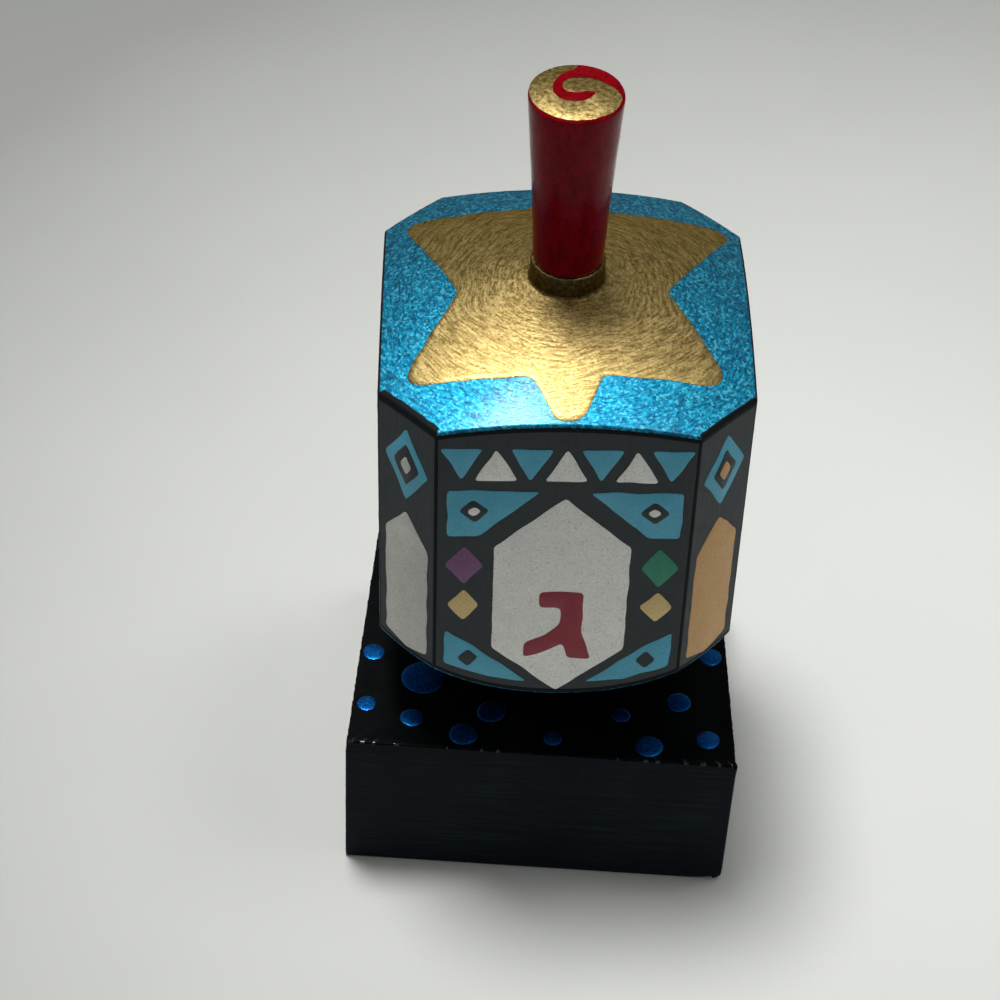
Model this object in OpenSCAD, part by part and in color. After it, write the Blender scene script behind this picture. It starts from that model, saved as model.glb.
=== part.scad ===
// Dreidel on its stand: a wooden top, turned and then flatted, with a glued-in handle,
// standing in the drilled socket of a hand-sawn block.
// Millimetres, +Z up along the spin axis, origin at the middle of the stand's underside.

/* [Stand] */
// Side of the block
stand_side = 41; // [36:0.1:60]
// Angle by which the saw left the block's right side out of square, in degrees
stand_skew = 3.8; // [0:0.1:6]
// Height of the block
stand_height = 18.7; // [16:0.1:30]
// Width of the flat sanded along the block's edges, measured along each face
stand_ease = 0.5; // [0.2:0.1:1.5]
// Diameter of the drilled socket
socket_diameter = 12; // [9:0.5:16]
// Depth of the socket's straight wall, below its sloping mouth
socket_depth = 8; // [7:0.5:10]
// Width of the sloping land at the socket's mouth, measured along the radius
seat_land = 0.6; // [0.3:0.1:1.5]
// Included angle of the drill's point, in degrees
drill_point = 118; // [90:1:140]

/* [Body] */
// Width of the body across opposite flats
body_width = 35.8; // [30:0.1:44]
// Length cut off each end of a flat by the corner facets
corner_cut = 5.6; // [3:0.1:8]
// Width of the strip sanded along the upright edges, measured along each face
edge_ease = 0.4; // [0.2:0.1:1]
// Height of the upright edges
edge_height = 32; // [24:0.5:45]
// Slope of the turned crown at the corners of its rim, in degrees
crown_edge_slope = 20; // [17:0.5:26]
// Radius of the crown's gently rounded outline
crown_radius = 95; // [80:1:200]
// Slope of the turned underside, in degrees
base_slope = 32; // [26:0.5:38]
// Radius of the round shoulder between the underside and the flats
shoulder_radius = 18; // [14:0.5:30]
// Distance inside the flats at which the shoulder starts
shoulder_inset = 0.6; // [0.2:0.1:3]
// Diameter of the spinning nib where it leaves the underside
nib_diameter = 5; // [3:0.1:7]
// Slope of the nib's flank, in degrees
nib_slope = 55; // [45:1:65]
// Radius of the nib's rounded point
nib_point_radius = 0.8; // [0.4:0.1:1.2]
// Height of the collar that carries the handle
collar_height = 2.3; // [1:0.1:4]
// Width of the collar's rounded lip outside the handle's foot
collar_lip = 0.2; // [0.1:0.05:0.6]
// Radius of the cove round the collar's foot
collar_cove = 0.5; // [0.2:0.1:1.5]

/* [Handle] */
// Length of the handle above the collar
handle_length = 19; // [12:0.1:30]
// Diameter of the handle at its top
handle_top_diameter = 9; // [7.6:0.1:14]
// Diameter of the handle at its shoulder
handle_base_diameter = 6.8; // [6:0.1:7.5]
// Radius of the rounded edge round the handle's top
handle_edge_radius = 0.3; // [0.2:0.1:1]
// Diameter of the tenon under the handle
tenon_diameter = 5; // [3.5:0.1:5.5]
// Length of the tenon
tenon_length = 12; // [6:0.5:16]

/* [Fits] */
// Gap between the underside and the socket's sloping land
seat_gap = 0.1; // [0.05:0.05:0.3]
// Gap for glue all round the tenon
glue_gap = 0.05; // [0.03:0.01:0.15]
// Depth of the bore left free below the tenon
tenon_end_gap = 0.5; // [0.2:0.1:2]

/* [Pose] */
// Turn of the dreidel on its stand at rest, in degrees
rest_turn = 3.6; // [0:0.1:45]

/* [Hidden] */
$fn = 96;

// How far each cutting shape runs past what it cuts
overrun = 1;
// Steps along each rounded stretch of a turned outline
arc_steps = 10;

stand_half = stand_side / 2;
// Where the right side's plane meets the front's: the corner between them, once eased, is a half side out
stand_corner = stand_half + stand_ease * sin(stand_skew);
// Length of the bars that shape the block, which reach well past it
bar_length = 3 * stand_side;
socket_radius = socket_diameter / 2;
land_radius = socket_radius + seat_land;
land_depth = seat_land * tan(base_slope);
drill_point_depth = socket_radius / tan(drill_point / 2);

flat_distance = body_width / 2;
flat_half_length = flat_distance - corner_cut;
corner_radius = norm([flat_distance, flat_half_length]);
turned_radius = corner_radius + overrun;
shoulder_start = flat_distance - shoulder_inset;
nib_radius = nib_diameter / 2;

corner_bottom = shoulder_height(shoulder_angle(corner_radius));
corner_top = corner_bottom + edge_height;
handle_base_radius = handle_base_diameter / 2;
handle_top_radius = handle_top_diameter / 2;
collar_radius = handle_base_radius + collar_lip;
cove_radius = collar_radius + collar_cove;
handle_seat = top_height(collar_radius) + collar_height;
tenon_radius = tenon_diameter / 2;
bore_depth = tenon_length + tenon_end_gap;

// Points on an arc about a centre, from one angle to another
function arc_points(centre, radius, from, to) =
    [for (step = [0 : arc_steps])
        let (angle = from + (to - from) * step / arc_steps)
        centre + radius * [cos(angle), sin(angle)]];

// Turns a point of an outline about the origin
function turned(point, angle) =
    [point.x * cos(angle) - point.y * sin(angle), point.x * sin(angle) + point.y * cos(angle)];

// Height of the turned underside's straight slope, which clears the socket's land by the seat gap
function base_height(radius) =
    stand_height + (radius - land_radius) * tan(base_slope) + seat_gap / cos(base_slope);

// Slope of the round shoulder at a radius: it starts tangent to the underside and ends upright at most
function shoulder_angle(radius) =
    asin(min(1, sin(base_slope) + (radius - shoulder_start) / shoulder_radius));

// Height of the round shoulder where it has a given slope
function shoulder_height(angle) =
    base_height(shoulder_start) + shoulder_radius * (cos(base_slope) - cos(angle));

// Slope of the crown at a radius: it eases off towards the axis
function crown_angle(radius) = asin(sin(crown_edge_slope) - (corner_radius - radius) / crown_radius);

// Height of the crown at a radius
function top_height(radius) =
    corner_top + crown_radius * (cos(crown_angle(radius)) - cos(crown_edge_slope));

// Outline of the underside's nib, from its point to where it joins the straight slope
function nib_outline() =
    let (
        root = [nib_radius, base_height(nib_radius)],
        point_centre = [0, root.y - nib_radius * tan(nib_slope) + nib_point_radius / cos(nib_slope)]
    )
    concat(arc_points(point_centre, nib_point_radius, -90, nib_slope - 90), [root]);

// Outline of the round shoulder, from the straight slope outwards
function shoulder_outline() =
    let (
        centre = [
            shoulder_start - shoulder_radius * sin(base_slope),
            base_height(shoulder_start) + shoulder_radius * cos(base_slope)
        ]
    )
    arc_points(centre, shoulder_radius, base_slope - 90, shoulder_angle(turned_radius) - 90);

// Outline of the crown, from outside the rim inwards to the collar's cove
function crown_outline() =
    let (
        centre = [
            corner_radius - crown_radius * sin(crown_edge_slope),
            corner_top - crown_radius * cos(crown_edge_slope)
        ]
    )
    arc_points(centre, crown_radius, 90 - crown_angle(turned_radius), 90 - crown_angle(cove_radius));

// Outline of the collar, from the cove at its foot over the rounded lip to the axis
function collar_outline() =
    let (
        cove_slope = crown_angle(cove_radius),
        cove_centre = [cove_radius, top_height(cove_radius) + collar_cove / cos(cove_slope)],
        lip_centre = [handle_base_radius, handle_seat - collar_lip]
    )
    concat(
        arc_points(cove_centre, collar_cove, 270 - cove_slope, 180),
        arc_points(lip_centre, collar_lip, 0, 90),
        [[0, handle_seat]]
    );

// Half outline that the lathe gives the body, from the nib's point round to the handle's seat
function body_outline() =
    concat(nib_outline(), shoulder_outline(), crown_outline(), collar_outline());

// Outline whose corners are cut back by a length along both of their edges
function eased(corners, ease) =
    let (count = len(corners))
    [for (i = [0 : count - 1], step = [count - 1, 1])
        let (edge = corners[(i + step) % count] - corners[i])
        corners[i] + ease * edge / norm(edge)];

// Square outline whose corners are cut to facets, with every edge eased
function flatted_outline() =
    let (
        corner = [flat_distance, flat_half_length],
        facet_end = [flat_half_length, flat_distance]
    )
    eased([for (side = [0 : 3], point = [corner, facet_end]) turned(point, 90 * side)], edge_ease);

// Outline of the block from above, square but for its right side
function stand_outline() =
    let (
        front = [stand_corner, -stand_half],
        back = [stand_corner - stand_side * tan(stand_skew), stand_half]
    )
    eased([front, back, [-stand_half, stand_half], [-stand_half, -stand_half]], stand_ease);

// Half outline of the handle, from the tenon's end round to the top
function handle_outline() =
    let (
        top = handle_seat + handle_length,
        tenon_end = handle_seat - tenon_length,
        lean = atan((handle_top_radius - handle_base_radius) / handle_length),
        edge_centre = [
            handle_top_radius - handle_edge_radius * (1 + sin(lean)) / cos(lean),
            top - handle_edge_radius
        ]
    )
    concat(
        [[0, tenon_end], [tenon_radius, tenon_end]],
        [[tenon_radius, handle_seat], [handle_base_radius, handle_seat]],
        arc_points(edge_centre, handle_edge_radius, -lean, 90),
        [[0, top]]
    );

// Bar lying along Y with the block's height and its eased edges
module eased_bar(width) {
    across = width / 2;
    up = stand_height / 2;
    rotate([90, 0, 0])
        linear_extrude(bar_length, center = true)
            polygon(eased([[across, up], [-across, up], [-across, -up], [across, -up]], stand_ease));
}

// Block standing on the origin: a bar along each side eases its upper and lower edges
module sawn_block() {
    translate([0, 0, stand_height / 2])
        intersection() {
            linear_extrude(stand_height, center = true) polygon(stand_outline());
            eased_bar(stand_side);
            rotate([0, 0, 90]) eased_bar(stand_side);
            translate([stand_corner, -stand_half, 0])
                rotate([0, 0, stand_skew])
                    translate([-bar_length / 2, 0, 0]) eased_bar(bar_length);
        }
}

// Sloping mouth, straight wall and drill-point floor of the socket, as the space that they enclose
module socket() {
    wall_top = stand_height - land_depth;
    floor_edge = wall_top - socket_depth;
    rotate_extrude()
        polygon([
            [0, floor_edge - drill_point_depth],
            [socket_radius, floor_edge],
            [socket_radius, wall_top],
            [land_radius + overrun, stand_height + overrun * tan(base_slope)],
            [0, stand_height + overrun * tan(base_slope)]
        ]);
}

// Wooden block that the dreidel stands in
module stand() {
    color("#15181a")
        difference() {
            sawn_block();
            socket();
        }
}

// Wooden top: a lathe-turned blank with four flats and four corner facets, bored for the handle
module body() {
    color("#1f86b4")
        rotate([0, 0, rest_turn])
            difference() {
                intersection() {
                    rotate_extrude() polygon(body_outline());
                    linear_extrude(handle_seat + overrun) polygon(flatted_outline());
                }
                translate([0, 0, handle_seat - bore_depth])
                    cylinder(h = bore_depth + overrun, r = tenon_radius + glue_gap);
            }
}

// Turned peg that spins the top: a tapered grip over a straight tenon
module handle() {
    color("#8e1020")
        rotate([0, 0, rest_turn])
            rotate_extrude() polygon(handle_outline());
}

stand();
body();
handle();
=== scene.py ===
import math

import bmesh
import bpy
from mathutils import Matrix, Vector, noise


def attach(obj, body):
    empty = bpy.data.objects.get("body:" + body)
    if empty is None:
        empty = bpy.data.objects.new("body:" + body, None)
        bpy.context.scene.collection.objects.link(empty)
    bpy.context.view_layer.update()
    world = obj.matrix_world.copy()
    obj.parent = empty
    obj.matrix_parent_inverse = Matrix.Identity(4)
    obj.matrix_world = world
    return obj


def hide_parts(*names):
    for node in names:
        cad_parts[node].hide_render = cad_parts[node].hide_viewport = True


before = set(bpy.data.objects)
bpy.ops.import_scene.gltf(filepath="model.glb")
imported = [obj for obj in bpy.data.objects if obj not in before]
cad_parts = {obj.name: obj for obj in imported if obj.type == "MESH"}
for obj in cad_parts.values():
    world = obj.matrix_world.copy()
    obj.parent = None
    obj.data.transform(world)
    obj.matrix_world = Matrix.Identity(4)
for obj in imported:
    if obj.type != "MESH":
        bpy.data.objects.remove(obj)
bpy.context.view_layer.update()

MM = 0.001

# Sizes of the solids, in millimetres, as the part's source has them
STAND_HEIGHT = 18.7
SOCKET_RADIUS = 6.0
SOCKET_DEPTH = 8.0
SEAT_LAND = 0.6
DRILL_POINT_DEPTH = 3.6
BODY_WIDTH = 35.8
CORNER_CUT = 5.6
EDGE_HEIGHT = 32.0
CROWN_EDGE_SLOPE = math.radians(20.0)
CROWN_RADIUS = 95.0
BASE_SLOPE = math.radians(32.0)
SHOULDER_RADIUS = 18.0
SHOULDER_INSET = 0.6
SEAT_GAP = 0.1
NIB_RADIUS = 2.5
NIB_SLOPE = math.radians(55.0)
NIB_POINT_RADIUS = 0.8
COLLAR_HEIGHT = 2.3
COLLAR_LIP = 0.2
HANDLE_LENGTH = 19.0
HANDLE_TOP_RADIUS = 4.5
HANDLE_BASE_RADIUS = 3.4
HANDLE_EDGE_RADIUS = 0.3
TENON_RADIUS = 2.5
TENON_LENGTH = 12.0
GLUE_GAP = 0.05
TENON_END_GAP = 0.5
REST_TURN = math.radians(3.6)

# Roundings that sanding and paint leave on the edges, in millimetres
STAND_EDGE = 0.3
COLLAR_COVE = 0.2
BODY_EDGE = 0.3
UPRIGHT_EDGE = 0.5
# Steps round each upright edge of the body, and along each of its faces
UPRIGHT_STEPS = 5
FACE_STEPS = 26
# Least and greatest Y in the outward normals of the two front facets
FRONT_FACETS = (-0.95, -0.3)

# Paint films, in millimetres: how far they stand up, and how far their undersides sink into what carries them
FILM = 0.045
FILM_SINK = 0.03
# Rounded rim of a film, as shares of its thickness: how far below the top it starts, and how far in it ends
RIM_DROP = 0.5
RIM_WIDTH = 0.8
# Hand-painted edges: how far they waver, in millimetres, how many waves there are to a millimetre, and the most of an
# edge that the rounding of one corner takes up
HAND_WAVER = 0.16
WAVER_PITCH = 0.45
CORNER_SHARE = 0.45

# How far the stand's painted top lies below its lip, in millimetres
DECK_DROP = 0.12
DECK = STAND_HEIGHT - DECK_DROP
FLAT = BODY_WIDTH / 2
FLAT_HALF = FLAT - CORNER_CUT
FACET = (FLAT + FLAT_HALF) / math.sqrt(2)
CORNER_RADIUS = math.hypot(FLAT, FLAT_HALF)
LAND_RADIUS = SOCKET_RADIUS + SEAT_LAND
SHOULDER_START = FLAT - SHOULDER_INSET
COLLAR_RADIUS = HANDLE_BASE_RADIUS + COLLAR_LIP
COVE_RADIUS = COLLAR_RADIUS + COLLAR_COVE


def slope_height(radius):
    """Height of the underside's straight slope at a radius, which clears the socket's land by the seat gap."""
    return STAND_HEIGHT + (radius - LAND_RADIUS) * math.tan(BASE_SLOPE) + SEAT_GAP / math.cos(BASE_SLOPE)


def base_height(radius):
    """Height of the turned underside at a radius: a straight slope, then a round shoulder."""
    if radius < SHOULDER_START:
        return slope_height(radius)
    sine = math.sin(BASE_SLOPE) + (radius - SHOULDER_START) / SHOULDER_RADIUS
    rise = SHOULDER_RADIUS * (math.cos(BASE_SLOPE) - math.sqrt(1 - sine * sine))
    return slope_height(SHOULDER_START) + rise


CORNER_TOP = base_height(CORNER_RADIUS) + EDGE_HEIGHT


def crown_angle(radius):
    """Slope of the crown at a radius, which eases off towards the axis."""
    return math.asin(math.sin(CROWN_EDGE_SLOPE) - (CORNER_RADIUS - radius) / CROWN_RADIUS)


def crown_height(radius):
    """Height of the turned crown at a radius."""
    return CORNER_TOP + CROWN_RADIUS * (math.cos(crown_angle(radius)) - math.cos(CROWN_EDGE_SLOPE))


HANDLE_SEAT = crown_height(COLLAR_RADIUS) + COLLAR_HEIGHT
# The peg ends a little below the solid's top, which leaves room for two films of paint
TOP_ROOM = 2 * FILM + 0.01
HANDLE_TOP = HANDLE_SEAT + HANDLE_LENGTH - TOP_ROOM
COVE_SLOPE = crown_angle(COVE_RADIUS)
COVE_CENTRE = (COVE_RADIUS, crown_height(COVE_RADIUS) + COLLAR_COVE / math.cos(COVE_SLOPE))
TURN = Matrix.Rotation(REST_TURN, 4, "Z")


class Shape:
    """Points and faces of one piece, in millimetres, gathered ring by ring."""

    def __init__(self):
        self.points = []
        self.faces = []
        self.kinds = []

    def ring(self, points):
        """Adds points and returns their numbers."""
        start = len(self.points)
        self.points.extend(Vector(point) for point in points)
        return list(range(start, len(self.points)))

    def strip(self, first, second, kind=0):
        """Joins two rings; kind is one material for the band, or a list with one for each face."""
        count = len(first)
        for i in range(count):
            j = (i + 1) % count
            self.faces.append((first[i], first[j], second[j], second[i]))
            self.kinds.append(kind[i] if isinstance(kind, list) else kind)

    def fan(self, ring, point, kind=0):
        """Closes a ring towards one point."""
        (centre,) = self.ring([point])
        count = len(ring)
        for i in range(count):
            self.faces.append((ring[i], ring[(i + 1) % count], centre))
            self.kinds.append(kind)

    def face(self, ring):
        """Closes a ring with one face."""
        self.faces.append(tuple(ring))
        self.kinds.append(0)

    def stack(self, rings, kinds):
        """Joins rings in order, each band with its own kind, and returns the first and last ring."""
        indices = [self.ring(ring) for ring in rings]
        for i, kind in enumerate(kinds):
            self.strip(indices[i], indices[i + 1], kind)
        return indices[0], indices[-1]

    def build(self, name, materials, body, slot, turn=None):
        """Makes the object, in metres, with outward faces and smooth shading, riding on a body."""
        mesh = bpy.data.meshes.new(name)
        mesh.from_pydata([point * MM for point in self.points], [], self.faces)
        for material in materials:
            mesh.materials.append(material)
        mesh.polygons.foreach_set("material_index", self.kinds)
        work = bmesh.new()
        work.from_mesh(mesh)
        bmesh.ops.recalc_face_normals(work, faces=work.faces)
        if turn is not None:
            bmesh.ops.transform(work, matrix=turn, verts=work.verts)
        work.to_mesh(mesh)
        work.free()
        mesh.shade_smooth()
        piece = bpy.data.objects.new(name, mesh)
        bpy.context.scene.collection.objects.link(piece)
        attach(piece, body)
        return piece


def arc(centre, radius, start, end, steps):
    """Points (radius, height) on an arc of a turned outline; angles in degrees."""
    angles = [math.radians(start + (end - start) * i / steps) for i in range(steps + 1)]
    return [(centre[0] + radius * math.cos(a), centre[1] + radius * math.sin(a)) for a in angles]


def turned_ring(radius, height, count):
    """One circle of a turned piece."""
    angles = [2 * math.pi * i / count for i in range(count)]
    return [(radius * math.cos(a), radius * math.sin(a), height) for a in angles]


def rounded_outline(corners, radius, corner_steps, edge_steps):
    """Points and outward normals round a convex polygon whose corners are rounded."""
    outline = []
    count = len(corners)
    for i, corner in enumerate(corners):
        before = (corner - corners[i - 1]).normalized()
        after = (corners[(i + 1) % count] - corner).normalized()
        turn = math.atan2(before.cross(after), before.dot(after))
        reach = radius * math.tan(turn / 2)
        start = math.atan2(-before.x, before.y)
        centre = corner - before * reach - Vector((math.cos(start), math.sin(start))) * radius
        for step in range(corner_steps + 1):
            angle = start + turn * step / corner_steps
            normal = Vector((math.cos(angle), math.sin(angle)))
            outline.append((centre + normal * radius, normal))
        length = (corners[(i + 1) % count] - corner).length - 2 * reach
        first = corner + after * reach
        normal = Vector((after.y, -after.x))
        for step in range(1, edge_steps):
            outline.append((first + after * (length * step / edge_steps), normal))
    return outline


def painted(corners, radii, seed, spacing=0.3, corner_steps=6):
    """Edge of a hand-painted patch: corners rounded by the radii in turn, short steps and a slight waver."""
    corners = [Vector(corner) for corner in corners]
    count = len(corners)
    smooth = []
    for i, corner in enumerate(corners):
        before = corners[i - 1] - corner
        after = corners[(i + 1) % count] - corner
        reach = min(radii[i % len(radii)], before.length * CORNER_SHARE, after.length * CORNER_SHARE)
        start = corner + before.normalized() * reach
        end = corner + after.normalized() * reach
        for step in range(corner_steps + 1):
            t = step / corner_steps
            smooth.append(start * (1 - t) ** 2 + corner * (2 * t * (1 - t)) + end * t ** 2)
    edge = []
    for i, point in enumerate(smooth):
        nearby = smooth[(i + 1) % len(smooth)]
        steps = max(1, round((nearby - point).length / spacing))
        edge.extend(point.lerp(nearby, step / steps) for step in range(steps))
    return [waver(point, HAND_WAVER, seed) for point in edge]


def waver(point, amount, seed):
    """Moves a point of a painted edge as an unsteady hand would."""
    place = Vector((point.x * WAVER_PITCH, point.y * WAVER_PITCH, seed))
    elsewhere = place + Vector((7.3, 1.9, 4.1))
    return point + Vector((noise.noise(place), noise.noise(elsewhere))) * amount


def rough(point, pitch, seed):
    """Noise at a point of an outline, with so many waves to a unit of length."""
    return noise.noise((*point * pitch, seed))


def inset(edge, distance):
    """Moves a closed edge inwards, whichever way it runs."""
    count = len(edge)
    area = sum(edge[i - 1].cross(edge[i]) for i in range(count))
    side = math.copysign(distance, area)
    moved = []
    for i, point in enumerate(edge):
        along = (edge[(i + 1) % count] - edge[i - 1]).normalized()
        moved.append(point + Vector((-along.y, along.x)) * side)
    return moved


def circle_edge(centre, radius, stretch=1.0, steps=40):
    """A round patch, longer along its first axis by the stretch."""
    angles = [2 * math.pi * i / steps for i in range(steps)]
    return [Vector(centre) + Vector((radius * stretch * math.cos(a), radius * math.sin(a))) for a in angles]


def add_film(shape, edge, place, level=0):
    """Adds a closed film of paint with a rounded rim, which lies over as many films as its level says.
    place takes (u, v, height above the surface) to space."""
    top = FILM * (level + 1)
    rings = [
        [place(p.x, p.y, -FILM_SINK) for p in edge],
        [place(p.x, p.y, top - FILM * RIM_DROP) for p in edge],
        [place(p.x, p.y, top) for p in inset(edge, FILM * RIM_WIDTH)],
    ]
    low, high = shape.stack(rings, [0, 0])
    shape.face(low[::-1])
    shape.face(high)


class Graph:
    """A material's nodes, with a short call for each kind that is used here."""

    def __init__(self, name):
        self.material = bpy.data.materials.new(name)
        self.material.use_nodes = True
        self.nodes = self.material.node_tree.nodes
        self.links = self.material.node_tree.links
        self.shader = self.nodes["Principled BSDF"]

    def put(self, socket, value):
        """Links an input to an output, or sets its value."""
        if isinstance(value, bpy.types.NodeSocket):
            self.links.new(value, socket)
        elif value is not None:
            socket.default_value = value

    def set(self, **values):
        """Sets the shader's inputs by their names."""
        for name, value in values.items():
            self.put(self.shader.inputs[name.replace("_", " ")], value)

    def place(self):
        """Object coordinates, in millimetres."""
        source = self.nodes.new("ShaderNodeTexCoord")
        return self.vector("SCALE", source.outputs["Object"], scale=1 / MM)

    def vector(self, operation, a, b=None, scale=None):
        node = self.nodes.new("ShaderNodeVectorMath")
        node.operation = operation
        self.put(node.inputs[0], a)
        self.put(node.inputs[1], b)
        if scale is not None:
            node.inputs["Scale"].default_value = scale
        return node.outputs["Value" if operation in ("LENGTH", "DOT_PRODUCT") else "Vector"]

    def math(self, operation, a, b=None, c=None):
        node = self.nodes.new("ShaderNodeMath")
        node.operation = operation
        for socket, value in zip(node.inputs, (a, b, c)):
            self.put(socket, value)
        return node.outputs[0]

    def split(self, vector):
        node = self.nodes.new("ShaderNodeSeparateXYZ")
        self.put(node.inputs[0], vector)
        return node.outputs

    def join(self, x, y, z):
        node = self.nodes.new("ShaderNodeCombineXYZ")
        for socket, value in zip(node.inputs, (x, y, z)):
            self.put(socket, value)
        return node.outputs[0]

    def noise(self, vector, scale, detail=3.0, roughness=0.55):
        """Noise with so many waves to a unit of the vector."""
        node = self.nodes.new("ShaderNodeTexNoise")
        self.put(node.inputs["Vector"], vector)
        self.put(node.inputs["Scale"], scale)
        self.put(node.inputs["Detail"], detail)
        self.put(node.inputs["Roughness"], roughness)
        return node.outputs["Fac"]

    def flakes(self, vector, scale):
        """Random shade of small cells, as metal flakes have."""
        node = self.nodes.new("ShaderNodeTexVoronoi")
        self.put(node.inputs["Vector"], vector)
        self.put(node.inputs["Scale"], scale)
        return node.outputs["Color"]

    def span(self, value, low, high, to_low=0.0, to_high=1.0):
        """Takes one range of a value to another, and holds it inside that."""
        node = self.nodes.new("ShaderNodeMapRange")
        for socket, number in zip(node.inputs, (value, low, high, to_low, to_high)):
            self.put(socket, number)
        return node.outputs[0]

    def mix(self, factor, a, b, blend="MIX"):
        node = self.nodes.new("ShaderNodeMix")
        node.data_type = "RGBA"
        node.blend_type = blend
        self.put(node.inputs["Factor"], factor)
        self.put(node.inputs[6], a if isinstance(a, bpy.types.NodeSocket) else (*a, 1.0))
        self.put(node.inputs[7], b if isinstance(b, bpy.types.NodeSocket) else (*b, 1.0))
        return node.outputs[2]

    def bump(self, height, strength, distance):
        """Fine relief, of a depth in millimetres, as a normal for the shader."""
        node = self.nodes.new("ShaderNodeBump")
        self.put(node.inputs["Height"], height)
        self.put(node.inputs["Strength"], strength)
        self.put(node.inputs["Distance"], distance * MM)
        return node.outputs[0]

    def plus(self, value, *others):
        """A value with shares of others added, each given as (value, share)."""
        for other, share in others:
            value = self.math("MULTIPLY_ADD", other, share, value)
        return value

    def radius(self, place):
        """Distance from the spin axis."""
        return self.vector("LENGTH", self.vector("MULTIPLY", place, (1.0, 1.0, 0.0)))

    def polar(self, place, pitch, sweep, wander):
        """Coordinates that draw noise out round the spin axis: pitch across the strokes, sweep along them, and how
        far the strokes wander off their circles."""
        x, y, _ = self.split(place)
        radius = self.radius(place)
        safe = self.math("MAXIMUM", radius, 0.1)
        drifting = self.plus(radius, (self.noise(place, 0.11, 1.0), wander))
        return self.join(
            self.math("MULTIPLY", drifting, pitch),
            self.math("MULTIPLY", self.math("DIVIDE", x, safe), sweep),
            self.math("MULTIPLY", self.math("DIVIDE", y, safe), sweep),
        )


def scaled(colour, share):
    """A colour made darker or lighter all over."""
    return tuple(channel * share for channel in colour)


def metallic_blue():
    """Glittering blue craft paint over the lathe's fine rings."""
    g = Graph("metallic_blue_paint")
    place = g.place()
    shade, tint, _ = g.split(g.flakes(place, 4.2))
    grain = g.noise(g.polar(place, 4.4, 28.0, 2.0), 1.0, 3.0, 0.65)
    rings = g.noise(g.polar(place, 3.4, 2.6, 3.0), 1.0, 4.0, 0.7)
    patches = g.noise(place, 0.25, 2.0)
    body = g.mix(g.span(patches, 0.35, 0.65), (0.002, 0.115, 0.215), (0.003, 0.15, 0.26))
    body = g.mix(g.span(grain, 0.37, 0.49, 0.85, 0.0), body, (0.001, 0.030, 0.068))
    body = g.mix(g.span(grain, 0.53, 0.63, 0.0, 0.8), body, (0.009, 0.29, 0.42))
    # Lighter flake cells: the paint's flakes, lightened as painted glints
    body = g.mix(g.span(tint, 0.72, 0.92, 0.0, 0.7), body, (0.06, 0.38, 0.50))
    body = g.mix(g.span(rings, 0.34, 0.44, 0.8, 0.0), body, (0.002, 0.05, 0.10))
    normal = g.bump(g.plus(grain, (shade, 0.15), (rings, 0.7)), 0.5, 0.035)
    g.set(Base_Color=body, Metallic=0.85, Roughness=g.span(tint, 0.0, 1.0, 0.42, 0.54), Normal=normal)
    g.set(Anisotropic=0.3, Specular_Tint=(0.25, 0.65, 0.8, 1.0))
    g.set(Coat_Weight=0.30, Coat_Roughness=0.15, Coat_Normal=normal)
    return g.material


def gold_paint(name, turned=True, tone=1.0):
    """Gold craft paint in fine strokes, on the crown round the handle over the lathe's rings; there it darkens round
    the collar's foot, as painted shade.
    """
    g = Graph(name)
    place = g.place()

    def toned(*colour):
        return scaled(colour, tone)

    if turned:
        strokes = g.noise(g.polar(place, 4.2, 7.0, 4.0), 1.0, 4.0, 0.7)
        rings = g.noise(g.polar(place, 1.7, 1.2, 4.0), 1.0, 4.0, 0.7)
        grain = g.noise(place, 3.6, 2.0, 0.6)
    else:
        strokes = g.noise(place, 2.2, 4.0, 0.7)
        rings = g.noise(place, 1.0, 3.0)
        grain = g.noise(place, 2.0, 2.0, 0.6)
    _, tint, _ = g.split(g.flakes(place, 4.4))
    body = g.mix(g.span(strokes, 0.40, 0.60), toned(0.15, 0.102, 0.033), toned(0.36, 0.266, 0.102))
    body = g.mix(g.span(grain, 0.34, 0.50, 0.6, 0.0), body, toned(0.09, 0.059, 0.014))
    # Lighter flake cells: the paint's flakes, lightened as painted glints
    body = g.mix(g.span(tint, 0.78, 0.96, 0.0, 0.3), body, toned(0.46, 0.36, 0.17))
    body = g.mix(g.span(rings, 0.28, 0.38, 0.6, 0.0), body, toned(0.08, 0.054, 0.012))
    if turned:
        # Painted shade: a ragged ring of darker gold round the collar's foot, where shade falls in the crease
        ragged = g.plus(g.radius(place), (g.noise(place, 0.9, 2.0), 1.4))
        crease_shade = g.span(ragged, COVE_RADIUS + 0.7, COVE_RADIUS + 2.2, 0.12, 0.0)
        body = g.mix(crease_shade, body, toned(0.05, 0.033, 0.008))
    normal = g.bump(g.plus(strokes, (rings, 0.8), (grain, 0.6)), 0.5, 0.045)
    g.set(Base_Color=body, Metallic=0.92, Roughness=g.span(strokes, 0.3, 0.7, 0.30, 0.43), Normal=normal)
    g.set(Anisotropic=0.4, Specular_Tint=(0.95, 0.75, 0.4, 1.0))
    return g.material


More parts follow.
